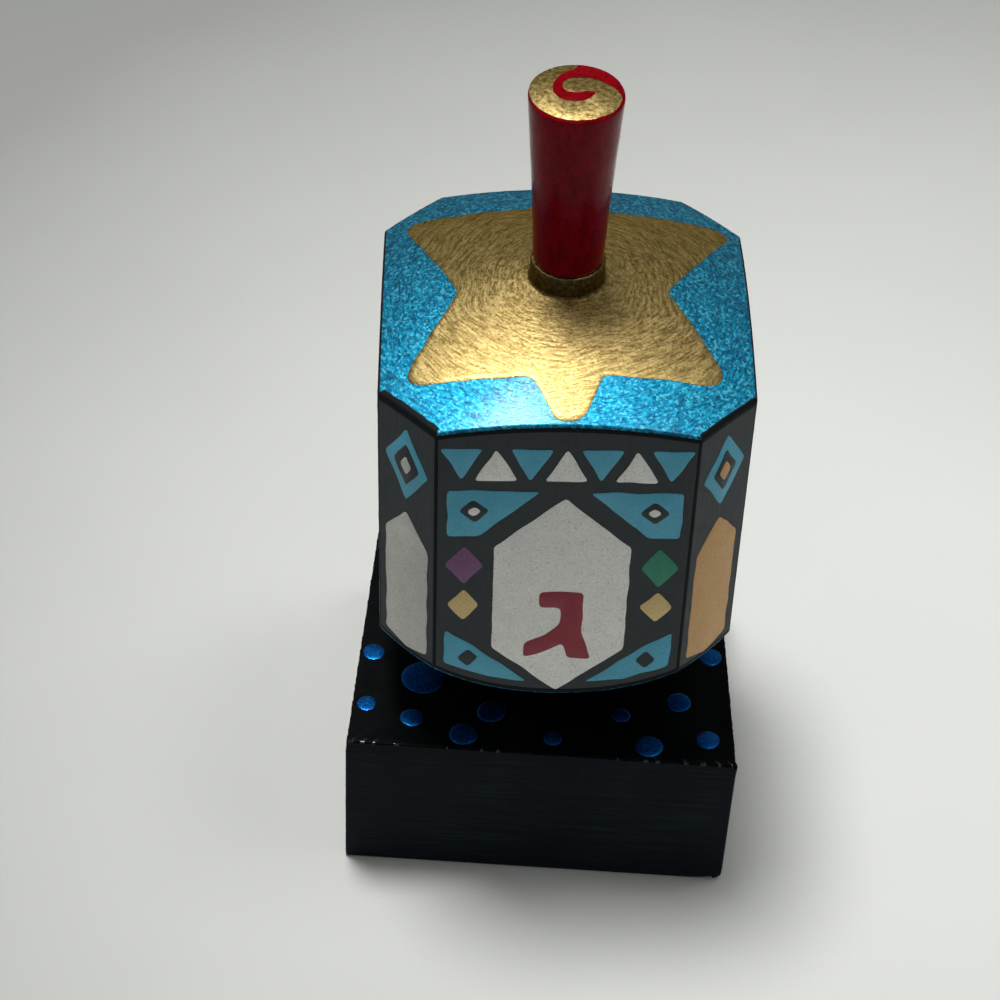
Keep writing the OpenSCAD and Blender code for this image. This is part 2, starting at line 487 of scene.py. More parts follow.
def satin_paint(name, colour, speck=0.0, rough=0.55, specular=0.25):
    """Flat craft paint with a fine grain, brush marks and a dark speckle."""
    g = Graph(name)
    place = g.place()
    clouds = g.noise(place, 0.5, 3.0)
    grain = g.noise(place, 7.0, 2.0, 0.6)
    specks = g.noise(place, 3.4, 2.0, 0.5)
    body = g.mix(g.span(clouds, 0.3, 0.7), scaled(colour, 0.92), colour)
    body = g.mix(g.span(grain, 0.48, 0.62, 0.0, 0.45), body, scaled(colour, 0.55))
    body = g.mix(g.span(specks, 0.60, 0.74, 0.0, speck), body, scaled(colour, 0.35))
    brush = g.noise(g.vector("MULTIPLY", place, (3.0, 3.0, 0.5)), 1.2, 3.0)
    normal = g.bump(g.plus(brush, (grain, 0.7)), 0.35, 0.05)
    g.set(Base_Color=body, Roughness=g.span(brush, 0.3, 0.7, rough - 0.06, rough + 0.08), Normal=normal)
    g.set(Specular_IOR_Level=specular)
    return g.material


def red_lacquer(name, colour, rough, specular):
    """Glossy red paint, a little uneven, with dark pits and runs."""
    g = Graph(name)
    place = g.place()
    clouds = g.noise(place, 0.6, 3.0)
    pits = g.noise(place, 3.2, 3.0, 0.6)
    runs = g.noise(g.vector("MULTIPLY", place, (1.0, 1.0, 0.25)), 1.6, 4.0, 0.65)
    grain = g.noise(place, 6.0, 2.0, 0.6)
    body = g.mix(g.span(clouds, 0.35, 0.65), scaled(colour, 0.7), colour)
    body = g.mix(g.span(grain, 0.45, 0.62, 0.0, 0.5), body, scaled(colour, 0.5))
    body = g.mix(g.span(runs, 0.53, 0.68, 0.0, 0.7), body, scaled(colour, 0.35))
    body = g.mix(g.span(pits, 0.57, 0.67, 0.0, 0.8), body, scaled(colour, 0.25))
    normal = g.bump(g.plus(runs, (pits, 0.5)), 0.35, 0.06)
    g.set(Base_Color=body, Roughness=g.span(pits, 0.3, 0.7, rough - 0.02, rough + 0.06), Normal=normal)
    g.set(Specular_IOR_Level=specular)
    return g.material


def stand_paint(name, light, rough, specular):
    """Black paint brushed along the block, with the wood's grain showing through as fine lines."""
    g = Graph(name)
    place = g.place()
    grain = g.noise(g.vector("MULTIPLY", place, (0.10, 0.10, 3.4)), 1.0, 4.0, 0.7)
    brush = g.noise(g.vector("MULTIPLY", place, (0.3, 2.2, 2.2)), 1.0, 3.0)
    clouds = g.noise(place, 0.16, 3.0)
    dark = scaled(light, 0.32)
    body = g.mix(g.span(grain, 0.42, 0.60), dark, light)
    body = g.mix(g.span(clouds, 0.35, 0.7, 0.0, 0.6), body, dark)
    normal = g.bump(g.plus(grain, (brush, 0.5)), 0.35, 0.05)
    gloss = g.span(grain, 0.35, 0.65, rough - 0.08, rough + 0.1)
    g.set(Base_Color=body, Roughness=gloss, Normal=normal)
    g.set(Specular_IOR_Level=specular)
    return g.material


def dot_paint():
    """Pearly blue paint of the stand's dots."""
    g = Graph("dot_blue_paint")
    place = g.place()
    shade, tint, _ = g.split(g.flakes(place, 6.0))
    swirl = g.noise(place, 1.1, 2.0)
    body = g.mix(g.span(swirl, 0.35, 0.65), (0.0012, 0.045, 0.19), (0.0015, 0.07, 0.25))
    body = g.mix(g.span(tint, 0.75, 1.0, 0.0, 0.6), body, (0.006, 0.16, 0.34))
    normal = g.bump(g.plus(swirl, (shade, 0.3)), 0.35, 0.05)
    g.set(Base_Color=body, Metallic=0.95, Roughness=g.span(shade, 0.0, 1.0, 0.26, 0.40), Normal=normal)
    return g.material


DARK_GREY = (0.030, 0.040, 0.043)
CHARCOAL = satin_paint("charcoal_paint", DARK_GREY, 0.4)
EDGE_BLACK = satin_paint("edge_black_paint", (0.005, 0.006, 0.008), 0.2, 0.5, 0.07)
BLUE = metallic_blue()
GOLD = gold_paint("gold_crown_paint")
GOLD_TOP = gold_paint("gold_handle_paint", turned=False, tone=1.1)
# Gold at half its tone, for the collar, its cove and its top: painted shade, where shade falls round the handle's foot
GOLD_PAINTED_SHADE = gold_paint("gold_collar_painted_shade", turned=False, tone=0.5)
RED = red_lacquer("red_handle_paint", (0.26, 0.001, 0.009), 0.11, 0.08)
RED_BRIGHT = red_lacquer("red_swirl_paint", (0.19, 0.0006, 0.004), 0.35, 0.01)
PAINTS = {
    "pale": satin_paint("pale_grey_paint", (0.95, 0.95, 0.89), 0.45),
    "stone": satin_paint("stone_grey_paint", (0.67, 0.67, 0.615), 0.45),
    "sky": satin_paint("sky_blue_paint", (0.11, 0.45, 0.62), 0.25),
    "violet": satin_paint("violet_paint", (0.23, 0.105, 0.22), 0.25),
    "green": satin_paint("green_paint", (0.045, 0.28, 0.17), 0.25),
    "sand": satin_paint("sand_paint", (0.80, 0.60, 0.27), 0.25),
    "peach": satin_paint("peach_paint", (0.70, 0.42, 0.18), 0.30),
    "letter": satin_paint("letter_red_paint", (0.33, 0.045, 0.062), 0.25, 0.5),
    "line": satin_paint("charcoal_line_paint", DARK_GREY, 0.4),
}


# Corners of the hand-sawn block at its foot and at its top, in millimetres: front right, back right, back left and
# front left. Its right side is a little out of square.
STAND_FOOT = ((20.17, -20.05), (17.6, 20.2), (-19.9, 20.2), (-20.48, -19.95))
STAND_HEAD = ((20.36, -19.98), (17.7, 20.2), (-19.6, 20.2), (-20.18, -19.78))
# Beads of paint: shares of their swell with waves to a millimetre, what keeps them inside the block, and their size on
# its sides, foot and lip
BEADS = ((0.55, 1.9), (0.3, 4.3), (0.15, 0.35))
BEAD_ROOM = 0.9
SIDE_BEAD, FOOT_BEAD, LIP_BEAD = 0.03, 0.05, 0.13
# Front right corner: how much more its foot is worn and how far its lip has a burr, each with the square of its reach
WORN_FOOT, WORN_AREA = 0.7, 4.0
BURR, BURR_AREA = 0.2, 0.3
# Drops of glossy paint on the front lip: waves to a millimetre, and the stretch along X with few of them
DROP_PITCH = 1.7
FEW_DROPS = (-13.5, 9.5)
# Widths of the strips inside the lip on the top face, and inside the rounded foot on the underside
LIP_STRIP, FOOT_STRIP = 0.4, 1.2


def stand_block():
    """The stand: a hand-sawn block with beads of paint along its edges, a worn foot and a drilled socket."""
    side, glossy, deep = range(3)
    edge_steps = 260

    def level(inward, height):
        """Outline at a height: the sides lean a little, as the saw left them."""
        corners = []
        for low, high in zip(STAND_FOOT, STAND_HEAD):
            corner = Vector(low).lerp(Vector(high), height / STAND_HEIGHT)
            corners.append(corner - Vector((math.copysign(inward, corner.x), math.copysign(inward, corner.y))))
        return rounded_outline(corners, max(STAND_EDGE - inward, 0.02), 5, edge_steps)

    def bead(point, height, amount):
        """Paint gathers in beads along an edge; this is how far the surface stays inside the block there."""
        place = Vector((*point, height))
        swell = sum(share * noise.noise(place * pitch) for share, pitch in BEADS)
        return amount * (swell - BEAD_ROOM)

    def wall(height):
        return [(*(p + n * bead(p, height, SIDE_BEAD)), height) for p, n in level(0.0, height)]

    def foot(angle):
        """Rounding round the foot, wider at the worn front right corner."""
        ring = []
        for point, normal in level(0.0, 0.0):
            worn = math.exp(-(point - Vector(STAND_FOOT[0])).length_squared / WORN_AREA)
            size = STAND_EDGE + WORN_FOOT * worn
            moved = point - normal * (size * (1 - math.sin(angle)))
            moved = moved + normal * bead(point, 0.0, FOOT_BEAD * math.sin(angle))
            ring.append((moved.x, moved.y, size * (1 - math.cos(angle))))
        return ring

    def lip(angle):
        """Rounding along the top edge, with beads of paint and a burr at the front right corner."""
        ring = []
        for point, normal in level(0.0, STAND_HEIGHT):
            moved = point - normal * (STAND_EDGE * (1 - math.sin(angle)))
            swell = bead(point, STAND_HEIGHT, LIP_BEAD)
            swell += BURR * math.exp(-(point - Vector(STAND_HEAD[0])).length_squared / BURR_AREA)
            moved = moved + normal * (swell * math.sin(angle))
            height = STAND_HEIGHT - STAND_EDGE * (1 - math.cos(angle)) + min(swell, 0.0) * math.cos(angle)
            ring.append((moved.x, moved.y, height))
        return ring

    def drop(point):
        """Whether a drop of glossy paint sits on the front lip here: most do near its ends."""
        least = 0.5 if FEW_DROPS[0] < point.x < FEW_DROPS[1] else 0.1
        return noise.noise((point.x * DROP_PITCH, 0.0, 5.0)) > least

    def deck(share):
        """Top face, from just inside the lip to the socket's mouth."""
        ring = []
        for point, _ in level(STAND_EDGE + LIP_STRIP, STAND_HEIGHT):
            moved = point.lerp(point.normalized() * LAND_RADIUS, share)
            ring.append((moved.x, moved.y, DECK))
        return ring

    def bored(radius, height):
        return [(*(point.normalized() * radius), height) for point, _ in level(0.0, 0.0)]

    bend = [math.radians(15 * i) for i in range(7)]
    underside = level(STAND_EDGE + FOOT_STRIP, 0.0)
    rings = [bored(LAND_RADIUS, 0.0), [(*point, 0.0) for point, _ in underside]]
    rings += [foot(angle) for angle in bend]
    kinds = [side] * (len(rings) - 1)
    for height in (2.0, 5.0, 9.0, 13.0, 17.0):
        rings.append(wall(height))
        kinds.append(side)
    rings += [lip(angle) for angle in reversed(bend)]
    shiny = [glossy if n.y < -0.7 and drop(p) else deep for p, n in level(0.0, STAND_HEIGHT)]
    kinds += [side] + [shiny] * (len(bend) - 1)
    rings += [deck(share) for share in (0.0, 0.3, 0.65, 1.0)]
    kinds += [shiny, deep, deep, deep]
    land = STAND_HEIGHT - SEAT_LAND * math.tan(BASE_SLOPE)
    rings += [bored(SOCKET_RADIUS, land), bored(SOCKET_RADIUS, land - SOCKET_DEPTH)]
    kinds += [deep, deep]
    shape = Shape()
    first, last = shape.stack(rings, kinds)
    shape.fan(first, (0, 0, 0), side)
    shape.fan(last, (0, 0, land - SOCKET_DEPTH - DRILL_POINT_DEPTH), deep)
    materials = [
        stand_paint("black_side_paint", (0.0085, 0.015, 0.021), 0.5, 0.05),
        stand_paint("black_lip_paint", (0.003, 0.004, 0.005), 0.12, 0.5),
        stand_paint("black_deck_paint", (0.002, 0.0026, 0.003), 0.45, 0.03),
    ]
    piece = shape.build("stand_block", materials, "stand", "stand_paint")
    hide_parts("stand")


# Dots on the stand's top: place from its middle and diameter, in millimetres
DOTS = (
    (-18.4, -6.9, 2.3), (-18.5, -14.3, 2.1), (-13.6, -15.9, 2.4), (-8.1, -17.7, 2.9), (-5.4, -14.4, 2.9),
    (1.2, -17.5, 1.9), (8.2, -13.8, 1.9), (11.2, -17.9, 2.9), (17.3, -16.5, 2.4), (14.2, -11.5, 2.5),
    (17.5, -4.8, 2.5), (-12.9, -10.2, 4.4), (-17.2, 1.5, 2.6), (-18.3, 9.2, 2.1), (-13.4, 14.6, 2.6),
    (-17.6, 17.9, 2.2), (-6.8, 17.0, 2.3), (0.8, 18.2, 2.9), (6.5, 15.8, 2.0), (12.6, 17.6, 2.5),
    (16.2, 13.6, 2.3), (12.6, 9.8, 3.0), (16.9, 4.6, 2.0), (-11.8, 6.9, 2.4), (10.9, -4.1, 2.2),
)
# How far out of round they are, and how far their edges waver, in millimetres
DOT_STRETCH = 0.08
DOT_WAVER = 0.12
# Their section: shares of the radius with heights over the stand's top, and the height of the middle
DOT_PROFILE = ((1.0, -FILM_SINK), (1.0, FILM * 0.6), (0.94, FILM * 1.3), (0.75, FILM * 1.9), (0.4, FILM * 2.3))
DOT_RISE = FILM * 2.4


def stand_dots():
    """Blobs of thick blue paint, domed a little, on the stand's top."""
    shape = Shape()
    for x, y, size in DOTS:
        middle = Vector((x, y))
        stretch = 1.0 + DOT_STRETCH * noise.noise((x, y, 0.5))
        edge = [waver(p, DOT_WAVER, x) for p in circle_edge(middle, size / 2, stretch)]
        rings = [[(*(middle.lerp(p, share)), DECK + rise) for p in edge] for share, rise in DOT_PROFILE]
        low, high = shape.stack(rings, [0] * (len(rings) - 1))
        shape.face(low[::-1])
        shape.fan(high, (x, y, DECK + DOT_RISE))
    shape.build("stand_dots", [dot_paint()], "stand", "stand_paint")


def body_outline():
    """Square with cut corners, as points and outward normals."""
    corners = []
    for side in range(4):
        turn = Matrix.Rotation(math.radians(90 * side), 2)
        corners.append(turn @ Vector((FLAT, -FLAT_HALF)))
        corners.append(turn @ Vector((FLAT, FLAT_HALF)))
    return rounded_outline(corners, UPRIGHT_EDGE, UPRIGHT_STEPS, FACE_STEPS)


def dreidel_body():
    """The turned and flatted top: charcoal sides, black edges, blue crown and underside, gold collar darkened as
    painted shade.
    """
    # gold is the darkened gold: painted shade on the collar, its cove and its top
    charcoal, black, blue, gold = range(4)
    outline = body_outline()
    front_left = Vector((-0.7, -0.7))
    least_band = 0.04

    def level(inward, height_at, lift=0.0):
        """Ring a little inside the faces, on the crown or the underside or lifted off it."""
        ring = []
        for point, normal in outline:
            moved = point - normal * inward
            ring.append((moved.x, moved.y, height_at(moved.length) + lift))
        return ring

    def at_front(normal):
        return FRONT_FACETS[0] < normal.y < FRONT_FACETS[1]

    def band():
        """Inner edge of the black paint on the rim of the front facets, wider on the left one."""
        ring = []
        for point, normal in outline:
            width = 0.10 + 0.10 * rough(point, 1.3, 4.0) + 0.08 * rough(point, 0.2, 1.0)
            width += 0.30 * max(0.0, normal.dot(front_left)) ** 4
            width = max(least_band, width) if at_front(normal) else least_band
            moved = point - normal * (BODY_EDGE + width)
            ring.append((moved.x, moved.y, crown_height(moved.length)))
        return ring

    def side(share):
        """Ring at a share of the way up the upright faces, which are tallest in their middles."""
        ring = []
        for point, _ in outline:
            low = base_height(point.length) + BODY_EDGE
            high = crown_height(point.length) - BODY_EDGE
            ring.append((point.x, point.y, low + (high - low) * share))
        return ring

    def between(share, radius, height_at):
        """Ring on the crown or the underside, on the way in from the edges to a circle."""
        ring = []
        for point, normal in outline:
            edge = point - normal * BODY_EDGE
            moved = edge.lerp(edge.normalized() * radius, share)
            ring.append((moved.x, moved.y, height_at(moved.length)))
        return ring

    def round_ring(radius, height):
        return [(*(point.normalized() * radius), height) for point, _ in outline]

    nib_root = base_height(NIB_RADIUS)
    nib_centre = nib_root - NIB_RADIUS * math.tan(NIB_SLOPE) + NIB_POINT_RADIUS / math.cos(NIB_SLOPE)
    rings, kinds = [], []

    def add(ring, kind):
        if rings:
            kinds.append(kind)
        rings.append(ring)

    for radius, height in arc((0.0, nib_centre), NIB_POINT_RADIUS, -80, math.degrees(NIB_SLOPE) - 90, 4):
        add(round_ring(radius, height), blue)
    add(round_ring(NIB_RADIUS, nib_root), blue)
    for share in (0.75, 0.5, 0.3, 0.2, 0.1, 0.05, 0.0):
        add(between(share, NIB_RADIUS, base_height), blue)
    bend = [math.radians(18 * i) for i in range(1, 6)]
    for angle in bend:
        inward = BODY_EDGE * (1 - math.sin(angle))
        add(level(inward, base_height, BODY_EDGE * (1 - math.cos(angle))), black if angle > bend[3] else blue)
    upright = ([black] * UPRIGHT_STEPS + [charcoal] * FACE_STEPS) * 8
    add(side(0.012), black)
    for share in (0.25, 0.5, 0.75, 0.988):
        add(side(share), upright)
    add(side(1.0), black)
    edge = [blue if normal.y < FRONT_FACETS[0] else black for _, normal in outline]
    rim = [black if at_front(normal) else blue for _, normal in outline]
    for angle in reversed(bend[:-1]):
        kind = black if angle > bend[2] else edge
        add(level(BODY_EDGE * (1 - math.sin(angle)), crown_height, -BODY_EDGE * (1 - math.cos(angle))), kind)
    add(level(BODY_EDGE, crown_height), rim)
    add(band(), rim)
    crown_end = COVE_RADIUS + 0.3
    for share in (0.08, 0.15, 0.3, 0.5, 0.7, 0.85, 1.0):
        add(between(share, crown_end, crown_height), blue)
    for radius, height in arc(COVE_CENTRE, COLLAR_COVE, 270 - math.degrees(COVE_SLOPE), 180, 5):
        add(round_ring(radius, height), gold)
    for radius, height in arc((HANDLE_BASE_RADIUS, HANDLE_SEAT - COLLAR_LIP), COLLAR_LIP, 0, 90, 4):
        add(round_ring(radius, height), gold)
    bore = TENON_RADIUS + GLUE_GAP
    floor = HANDLE_SEAT - TENON_LENGTH - TENON_END_GAP
    add(round_ring(bore, HANDLE_SEAT), gold)
    add(round_ring(bore, floor), charcoal)
    shape = Shape()
    first, last = shape.stack(rings, kinds)
    shape.fan(first, (0, 0, nib_centre - NIB_POINT_RADIUS), blue)
    shape.fan(last, (0, 0, floor), charcoal)
    piece = shape.build("dreidel_body", [CHARCOAL, EDGE_BLACK, BLUE, GOLD_PAINTED_SHADE], "dreidel", "body_paint", TURN)
    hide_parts("body")


# Corners of the six-pointed star on the crown, in millimetres from the axis: points and notches by turns
STAR = (
    (-1.15, -17.45), (1.35, -17.2), (3.2, -12.45), (15.7, -11.95), (9.75, -0.9), (17.6, 12.35), (3.7, 12.5),
    (0.0, 18.8), (-3.5, 12.7), (-16.6, 12.5), (-10.4, -1.25), (-16.2, -12.4), (-3.4, -12.6),
)
# How far each corner is rounded: the front point is blunt, so it has two corners
STAR_ROUNDING = (1.0, 1.0, 0.6) + (3.4, 0.9) * 5
STAR_FILM = 0.02


def star_film():
    """Gold star on the crown: a film that follows the crown, then the collar's cove and side up to its lip; the
    collar's side is darkened gold, as painted shade.
    """
    # dark is the darkened gold of the collar's side: painted shade
    gold, dark = range(2)
    edge = painted(STAR, STAR_ROUNDING, 3.0, 0.35)
    rim = inset(edge, STAR_FILM * RIM_WIDTH)
    inner_radius = COVE_RADIUS + 0.1

    def on_crown(points, lift):
        return [(p.x, p.y, crown_height(p.length) + lift) for p in points]

    def towards(share):
        return [p.lerp(p.normalized() * inner_radius, share) for p in rim]

    def ringed(radius, height):
        return [(*(p.normalized() * radius), height) for p in rim]

    rings = [on_crown(edge, -FILM_SINK), on_crown(edge, STAR_FILM * (1 - RIM_DROP))]
    rings += [on_crown(towards(share), STAR_FILM) for share in (0.0, 0.06, 0.2, 0.4, 0.6, 0.8, 0.95)]
    cove = arc(COVE_CENTRE, COLLAR_COVE - STAR_FILM, 270 - math.degrees(COVE_SLOPE), 180, 6)
    rings += [ringed(*point) for point in cove]
    gold_bands = len(rings) - 1
    lip = HANDLE_SEAT - COLLAR_LIP
    rings.append(ringed(COLLAR_RADIUS + STAR_FILM, lip - 0.15))
    rings.append(ringed(COLLAR_RADIUS - FILM_SINK, lip))
    rings.append(ringed(COLLAR_RADIUS - FILM_SINK, COVE_CENTRE[1]))
    rings.append(ringed(inner_radius, crown_height(inner_radius) - FILM_SINK))
    kinds = [gold] * gold_bands + [dark] * (len(rings) - 1 - gold_bands)
    shape = Shape()
    first, last = shape.stack(rings, kinds)
    shape.strip(last, first, dark)
    shape.build("star_paint", [GOLD, GOLD_PAINTED_SHADE], "dreidel", "body_paint", TURN)


# The handle's grip: how far it narrows half way up, the size of its lumps and what keeps them inside the solid
HANDLE_WAIST = 0.075
HANDLE_LUMP = 0.035
LUMP_ROOM = 0.6


def handle_peg():
    """The turned handle: a red tapered grip over its tenon, a little uneven where the paint is thick."""
    red, bright = range(2)
    count = 96
    lean = math.atan((HANDLE_TOP_RADIUS - HANDLE_BASE_RADIUS) / HANDLE_LENGTH)
    edge = (
        HANDLE_TOP_RADIUS - HANDLE_EDGE_RADIUS * (1 + math.sin(lean)) / math.cos(lean),
        HANDLE_TOP - HANDLE_EDGE_RADIUS,
    )
    tenon_end = HANDLE_SEAT - TENON_LENGTH
    outline = [(TENON_RADIUS, tenon_end), (TENON_RADIUS, HANDLE_SEAT), (HANDLE_BASE_RADIUS - 0.15, HANDLE_SEAT)]
    outline.append((HANDLE_BASE_RADIUS - 0.02, HANDLE_SEAT + 0.10))
    steps = 24
    tip = arc(edge, HANDLE_EDGE_RADIUS, -math.degrees(lean), 90, 7)
    for i in range(1, steps):
        share = i / steps
        height = HANDLE_SEAT + (tip[0][1] - HANDLE_SEAT) * share
        waist = 4 * HANDLE_WAIST * share * (1 - share)
        outline.append((HANDLE_BASE_RADIUS + (tip[0][0] - HANDLE_BASE_RADIUS) * share - waist, height))
    outline += tip
    lumps_start = HANDLE_SEAT + 0.5
    rings = []
    for radius, height in outline:
        ring = []
        for x, y, z in turned_ring(radius, height, count):
            lump = 0.0
            if height > lumps_start:
                lump = HANDLE_LUMP * (noise.noise((x * 0.5, y * 0.5, z * 0.35)) - LUMP_ROOM)
            ring.append((x * (1 + lump / radius), y * (1 + lump / radius), z))
        rings.append(ring)
    bright_bands = 4
    kinds = [red] * (len(rings) - 1 - bright_bands) + [bright] * bright_bands
    shape = Shape()
    first, last = shape.stack(rings, kinds)
    shape.fan(first, (0, 0, tenon_end), red)
    shape.fan(last, (0, 0, HANDLE_TOP), bright)
    piece = shape.build("handle_peg", [RED, RED_BRIGHT], "dreidel", "handle_paint", TURN)
    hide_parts("handle")


# Swirl on the handle's end, as shares of its radius: round the inside to the tail's tip, then back round the outside
SWIRL_SHARES = (
    (0.95, -0.20), (0.80, 0.14), (0.52, 0.40), (0.25, 0.52), (-0.06, 0.52), (-0.24, 0.40), (-0.28, 0.22),
    (-0.21, 0.06), (0.0, 0.01), (0.20, 0.06), (0.38, 0.01), (0.20, -0.22), (-0.04, -0.29), (-0.30, -0.22),
    (-0.47, 0.02), (-0.46, 0.32), (-0.29, 0.64), (-0.02, 0.83), (0.10, 0.96), (0.50, 0.85), (0.85, 0.50),
)


def smooth_loop(points, steps=6):
    """Closed curve through the points."""
    count = len(points)
    curve = []
    for i in range(count):
        a, b, c, d = (Vector(points[(i + k) % count]) for k in (-1, 0, 1, 2))
        for step in range(steps):
            t = step / steps
            curve.append(
                0.5 * (2 * b + (c - a) * t + (2 * a - 5 * b + 4 * c - d) * t ** 2 + (3 * b - a - 3 * c + d) * t ** 3)
            )
    return curve


def handle_end():
    """Gold disc on the handle's end, with a red swirl that runs in from the rim."""
    flat = HANDLE_TOP_RADIUS - HANDLE_EDGE_RADIUS
    swirl_reach = flat + 0.12
    back_left, front = Vector((-0.7, 0.7)), Vector((0.5, -0.85))

    def place(u, v, height):
        return (u, v, HANDLE_TOP + height)

    gold = Shape()
    disc = []
    for point in circle_edge((0, 0), 1.0, steps=120):
        reach = 0.04 + 0.16 * max(0.0, point.dot(back_left))
        ragged = 0.10 * rough(point, 6, 2.0) + 0.16 * rough(point, 2, 9.0)
        disc.append(point * (flat + reach + ragged * max(0.0, point.dot(front))))
    add_film(gold, disc, place)
    gold.build("handle_gold", [GOLD_TOP], "dreidel", "handle_paint", TURN)
    swirl = Shape()
    edge = [p * min(HANDLE_TOP_RADIUS, swirl_reach / p.length) for p in smooth_loop(SWIRL_SHARES)]
    add_film(swirl, edge, place, 1)
    swirl.build("handle_swirl", [RED_BRIGHT], "dreidel", "handle_paint", TURN)


# Painted patches. Each is a paint, a layer and its corners, in millimetres: across from the middle of the face,
# and up from the stand's top.
PATCH_ROUNDING = 0.45
LETTER_ROUNDING = 0.55
LETTER_FOOT = 12.6
# Frieze of triangles: how many there are, where they start and end, and their spacing and half width
FRIEZE_COUNT = 7
FRIEZE_LOW, FRIEZE_HIGH = 37.0, 41.0
FRIEZE_PITCH = 3.3
FRIEZE_HALF = FRIEZE_PITCH * 0.62
LETTERS = {
    "nun": [[(-1.4, 9.5), (2.2, 9.5), (2.2, 0.0), (-2.9, 0.0), (-2.9, 2.2), (0.0, 2.2), (0.0, 7.3), (-1.4, 7.3)]],
    "gimel": [[
        (-2.0, 9.5), (2.3, 9.5), (2.3, 3.7), (3.4, 0.0), (1.0, 0.0), (0.4, 2.2),
        (-1.3, 0.9), (-3.4, 0.0), (-3.4, 2.2), (-1.5, 3.2), (0.1, 4.8), (0.1, 7.3), (-2.0, 7.3),
    ]],
    "hei": [
        [(-3.4, 9.5), (3.2, 9.5), (3.2, 0.0), (1.0, 0.0), (1.0, 7.3), (-3.4, 7.3)],
        [(-3.2, 5.4), (-1.0, 5.4), (-1.0, 0.0), (-3.2, 0.0)],
    ],
    "shin": [[
        (-3.9, 9.5), (-1.9, 9.5), (-1.9, 2.2), (-1.0, 2.2), (-1.0, 9.5), (1.0, 9.5),
        (1.0, 2.2), (1.9, 2.2), (1.9, 9.5), (3.9, 9.5), (3.9, 0.0), (-3.9, 0.0),
    ]],
}
SIDE_LETTERS = ("gimel", "nun", "shin", "hei")


def lozenge(u, v, across, up):
    """Corners of a lozenge about a point, with half its width and height."""
    return [(u, v + up), (u + across, v), (u, v - up), (u - across, v)]


def mirrored(corners):
    """Corners of the same patch on the other half of its face."""
    return [(-u, v) for u, v in reversed(corners)]


def half_patches(jewel):
    """Fields beside the shield on the left half of a flat."""
    return [
        ("sky", 0, [(-11.2, 35.6), (-2.4, 35.6), (-8.2, 29.6), (-11.2, 29.6)]),
        ("line", 1, lozenge(-8.6, 33.0, 1.5, 1.5)),
        ("pale", 2, lozenge(-8.6, 33.0, 0.7, 0.7)),
        (jewel, 0, lozenge(-9.5, 25.6, 1.9, 2.7)),
        ("sand", 0, lozenge(-9.5, 20.1, 1.6, 2.2)),
        ("sky", 0, [(-11.3, 16.4), (-8.2, 14.0), (-3.0, 9.1), (-6.6, 9.6), (-11.3, 11.6)]),
        ("line", 1, lozenge(-8.9, 12.5, 1.1, 1.3)),
    ]


def flat_patches(letter):
    """Patches of one flat: a frieze of triangles, a pale shield with the letter, and mirrored fields beside it."""
    patches = []
    for i in range(FRIEZE_COUNT):
        u = (i - FRIEZE_COUNT // 2) * FRIEZE_PITCH
        low, high = (FRIEZE_LOW, FRIEZE_HIGH) if i % 2 else (FRIEZE_HIGH, FRIEZE_LOW)
        corners = [(u - FRIEZE_HALF, low), (u + FRIEZE_HALF, low), (u, high)]
        patches.append(("pale" if i % 2 else "sky", 0, corners))
    patches.append(("pale", 0, [(0, 34.8), (6.6, 28.2), (6.6, 14.0), (0, 7.8), (-6.6, 14.0), (-6.6, 28.2)]))
    patches += half_patches("violet")
    patches += [(paint, layer, mirrored(corners)) for paint, layer, corners in half_patches("green")]
    for strokes in LETTERS[letter]:
        patches.append(("letter", 1, [(u, v + LETTER_FOOT) for u, v in strokes]))
    return patches


def facet_patches(main):
    """Patches of one corner facet: a tall plain field under a blue lozenge."""
    return [
        (main, 0, [(0, 30.0), (2.9, 26.4), (2.9, 11.9), (0, 10.9), (-2.9, 11.9), (-2.9, 26.4)]),
        ("sky", 0, lozenge(0, 36.2, 2.9, 4.6)),
        ("line", 1, lozenge(0, 36.2, 1.7, 2.7)),
        (main, 2, lozenge(0, 36.2, 0.8, 1.3)),
    ]


def side_place(angle, distance):
    """Takes (across, up, height off the face) on an upright face to space."""
    normal = Vector((math.cos(angle), math.sin(angle), 0))
    across = Vector((-math.sin(angle), math.cos(angle), 0))

    def place(u, v, height):
        return normal * (distance + height) + across * u + Vector((0, 0, STAND_HEIGHT + v))

    return place


def side_films():
    """All painted patches, one piece for each colour."""
    shapes = {name: Shape() for name in PAINTS}
    for side in range(4):
        angle = math.radians(90 * side - 90)
        faces = (
            (side_place(angle, FLAT), flat_patches(SIDE_LETTERS[side])),
            (side_place(angle + math.radians(45), FACET), facet_patches("stone" if side % 2 else "peach")),
        )
        for place, patches in faces:
            for number, (paint, layer, corners) in enumerate(patches):
                rounding = LETTER_ROUNDING if paint == "letter" else PATCH_ROUNDING
                edge = painted(corners, (rounding,), side * 10 + number)
                add_film(shapes[paint], edge, place, layer)
    for name, shape in shapes.items():
        shape.build(f"paint_{name}", [PAINTS[name]], "dreidel", "body_paint", TURN)


# Floor: half its side in metres, and its colours from painted shade to painted light; the colour holds a painted pool
# of light, which fades from a middle behind the part, in millimetres, and leans brighter to the right
FLOOR_HALF = 3.0
FLOOR_PAINTED_SHADE, FLOOR_PAINTED_LIGHT = (0.30, 0.303, 0.289), (0.64, 0.646, 0.619)
LIGHT_POOL_MIDDLE = (0.0, 20.0, 0.0)
LIGHT_POOL_FADE = (0.0033, 0.0033, 0.0)
LIGHT_POOL_LEAN = (0.0011, 0.0, 0.0)


